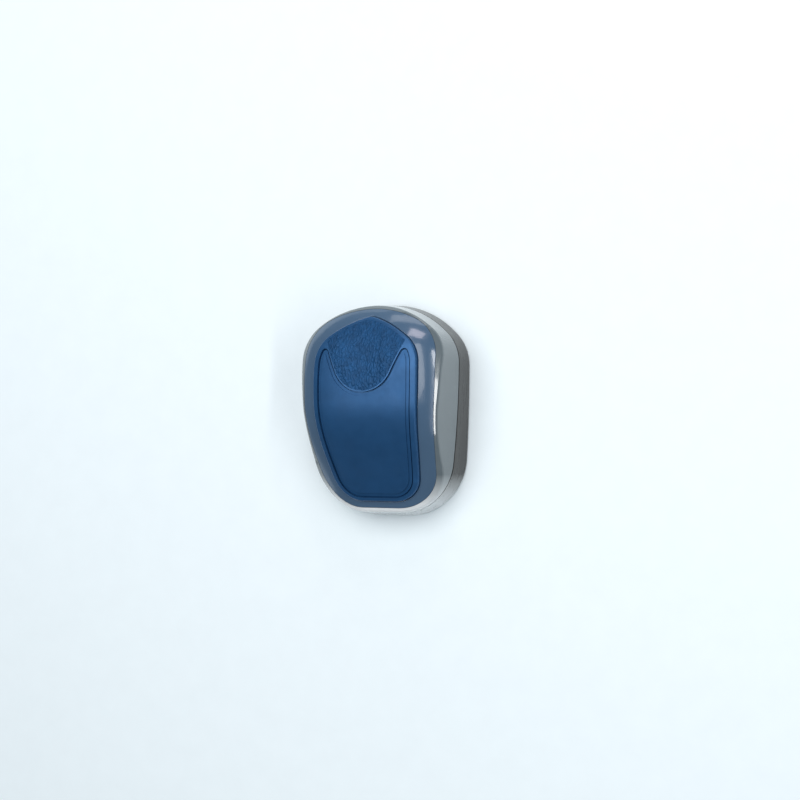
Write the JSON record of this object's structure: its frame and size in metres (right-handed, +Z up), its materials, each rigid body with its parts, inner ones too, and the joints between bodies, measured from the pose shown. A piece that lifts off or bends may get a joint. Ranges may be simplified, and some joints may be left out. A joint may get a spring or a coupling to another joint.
{
  "type": "magnetic glass cleaner",
  "caption": "Two-piece magnetic aquarium glass cleaner: a crowned handle half with thumb grip and palm panel, stacked pad to pad on a flat floating inner half with a scrubbing pad.",
  "frame": {"origin": "centre of the underside of the inner half, on the surface that the stacked cleaner lies on", "axes": "+Z up, away from the glass on the hand's side; +Y towards the thumb end of the handle; +X to the right seen from above with the thumb end up"},
  "size_m": [0.0516, 0.0677, 0.0269],
  "materials": {
    "housing_grey": "gloss",
    "bezel_slate": "gloss",
    "handle_blue": "satin",
    "grip_blue": "matte",
    "panel_blue": "satin",
    "carrier_black": "matte",
    "keeper_steel": "satin",
    "magnet_nickel": "polished",
    "plate_grey": "satin",
    "screw_steel": "satin",
    "adhesive_film": "satin",
    "felt_grey": "matte",
    "scrub_black": "matte",
    "seal_rubber": "matte",
    "foam_white": "matte",
    "shell_grey": "satin"
  },
  "bodies": {
    "inner_half": {"inner_shell": "shell_grey", "inner_yoke": "keeper_steel", "inner_magnet_left": "magnet_nickel", "inner_magnet_right": "magnet_nickel", "float_foam": "foam_white", "inner_seal": "seal_rubber", "inner_cover": "plate_grey", "scrub_film": "adhesive_film", "scrub_pad": "scrub_black"},
    "outer_half": {"felt_pad": "felt_grey", "felt_film": "adhesive_film", "base_plate": "plate_grey", "housing_screws": "screw_steel", "outer_magnet_left": "magnet_nickel", "outer_magnet_right": "magnet_nickel", "outer_yoke": "keeper_steel", "magnet_carrier": "carrier_black", "outer_housing": "housing_grey", "cover_bezel": "bezel_slate", "handle_cap": "handle_blue", "thumb_grip": "grip_blue", "palm_panel": "panel_blue"}
  },
  "joints": [
    {"name": "pull_off", "type": "slide", "parent": "inner_half", "child": "outer_half", "axis": [0, 0, 1], "range_m": [0, 0.04]}
  ]
}
